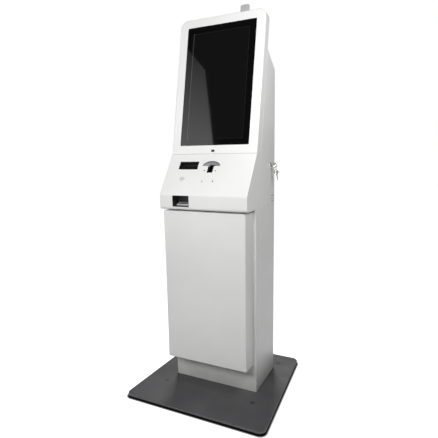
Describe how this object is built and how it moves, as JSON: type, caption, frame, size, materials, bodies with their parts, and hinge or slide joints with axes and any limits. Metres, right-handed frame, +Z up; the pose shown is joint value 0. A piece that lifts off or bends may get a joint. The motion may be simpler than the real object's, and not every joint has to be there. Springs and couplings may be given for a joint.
{
  "type": "ticket vending machine",
  "caption": "Free-standing self-service ticket machine: leaning tall touchscreen head, sloped console with ticket outlet and readers, boxy pedestal with a deep front door, flat base plate.",
  "frame": {"origin": "on the floor under the centre of the base plate", "axes": "+X to the user's right, +Y towards the machine's back, +Z up"},
  "size_m": [0.6566, 0.622, 1.7223],
  "materials": {
    "powder_coat_white": "fine-textured white powder coat, satin",
    "powder_coat_dark": "fine-textured dark grey powder coat, satin",
    "foot_rubber": "matte black rubber",
    "cap_plastic": "dark grey moulded plastic",
    "zinc_steel": "zinc plated, satin",
    "black_glass": "polished black-bordered glass",
    "gasket_foam": "matte foam",
    "panel_metal": "brushed aluminium",
    "board_green": "green board with soldered parts",
    "black_plastic": "matte moulded black plastic",
    "grey_plastic": "satin moulded dark grey plastic",
    "clear_plastic": "frosted clear moulding",
    "mark_grey": "pale grey print",
    "dark_window": "dark infrared-pass window",
    "nickel": "nickel plated, polished",
    "magnet": "dark nickel plated",
    "paper": "smooth white thermal paper",
    "roller_rubber": "smooth black rubber",
    "motor_case": "black lacquered steel",
    "aerial_plastic": "light grey moulded plastic",
    "pc_case": "black anodised",
    "rocker_red": "glossy moulded plastic"
  },
  "bodies": {
    "frame": {"base_plate": "powder_coat_dark", "base_feet": "foot_rubber", "anchor_caps": "cap_plastic", "frame_screws": "zinc_steel", "pedestal_shell": "powder_coat_white", "door_frame_leaves": "zinc_steel", "door_hinge_pins": "zinc_steel", "magnetic_catches": "magnet", "equipment_shelf": "powder_coat_white", "mini_pc": "pc_case", "power_supply": "zinc_steel", "power_inlet": "black_plastic", "cable_gland": "black_plastic", "head_shell": "powder_coat_white", "rear_shell_leaves": "zinc_steel", "rear_hinge_pins": "zinc_steel", "lock_barrel": "nickel", "lock_nut": "nickel", "fan_frame": "black_plastic", "console_cover": "powder_coat_white", "contactless_mark": "mark_grey", "contactless_reader": "board_green", "reader_recess": "black_plastic", "reader_window": "dark_window", "reader_body": "grey_plastic", "terminal_scoop": "grey_plastic", "ticket_chute": "black_plastic", "printer_mouth": "clear_plastic", "printer_chassis": "zinc_steel", "print_head": "panel_metal", "stepper_motor": "motor_case", "paper_spindle": "grey_plastic", "slab_bezel": "powder_coat_white", "glass_gasket": "gasket_foam", "touch_glass": "black_glass", "camera_module": "black_plastic", "sensor_window": "dark_window", "lcd_panel": "panel_metal", "panel_rails": "zinc_steel", "slab_back_cover": "powder_coat_white", "slab_brackets": "zinc_steel", "console_straps": "zinc_steel", "aerial": "aerial_plastic"},
    "pedestal_door": {"pedestal_door": "powder_coat_white", "door_stiffener": "zinc_steel", "door_leaves": "zinc_steel"},
    "rear_door": {"rear_door": "powder_coat_white", "rear_door_leaves": "zinc_steel", "lock_keeper": "zinc_steel"},
    "lock_plug": {"lock_plug": "nickel", "lock_cam": "zinc_steel", "lock_key": "nickel"},
    "key_ring": {"key_ring": "nickel"},
    "spare_key": {"spare_key": "nickel"},
    "fan_rotor": {"fan_rotor": "black_plastic"},
    "mains_rocker": {"mains_rocker": "rocker_red"},
    "platen_roller": {"platen_roller": "roller_rubber"},
    "paper_roll": {"paper_roll": "paper"},
    "cutter_blade": {"cutter_blade": "zinc_steel"}
  },
  "joints": [
    {"name": "pedestal_door_hinge", "type": "hinge", "parent": "frame", "child": "pedestal_door", "pos_m": [-0.1895, -0.07, 0.4955], "axis": [0, 0, -1], "range_deg": [0, 95]},
    {"name": "rear_door_hinge", "type": "hinge", "parent": "frame", "child": "rear_door", "pos_m": [-0.188, 0.1855, 1.145], "axis": [0, 0, 1], "range_deg": [0, 110]},
    {"name": "lock_turn", "type": "hinge", "parent": "frame", "child": "lock_plug", "pos_m": [0.205, 0.123, 1.025], "axis": [1, 0, 0], "range_deg": [0, 90]},
    {"name": "key_ring_swing", "type": "hinge", "parent": "lock_plug", "child": "key_ring", "pos_m": [0.231, 0.123, 1.0232], "axis": [0, 1, 0], "range_deg": [-60, 10]},
    {"name": "spare_key_swing", "type": "hinge", "parent": "key_ring", "child": "spare_key", "pos_m": [0.231, 0.123, 1.0022], "axis": [0, 1, 0], "range_deg": [-50, 20]},
    {"name": "fan_spin", "type": "hinge", "parent": "frame", "child": "fan_rotor", "pos_m": [0.1955, 0.1505, 0.872], "axis": [1, 0, 0], "continuous": true},
    {"name": "mains_rocker_tilt", "type": "hinge", "parent": "frame", "child": "mains_rocker", "pos_m": [-0.12, 0.178, 0.127], "axis": [-1, 0, 0], "range_deg": [0, 14]},
    {"name": "platen_spin", "type": "hinge", "parent": "frame", "child": "platen_roller", "pos_m": [-0.101, -0.089, 0.857], "axis": [1, 0, 0], "continuous": true},
    {"name": "paper_roll_spin", "type": "hinge", "parent": "frame", "child": "paper_roll", "pos_m": [-0.101, 0.03, 0.89], "axis": [1, 0, 0], "continuous": true},
    {"name": "cutter_slide", "type": "slide", "parent": "frame", "child": "cutter_blade", "axis": [0, 0, -1], "range_m": [0, 0.006]}
  ],
  "couplings": [
    {"joint": "paper_roll_spin", "follows": "platen_spin", "ratio": 0.21053}
  ]
}
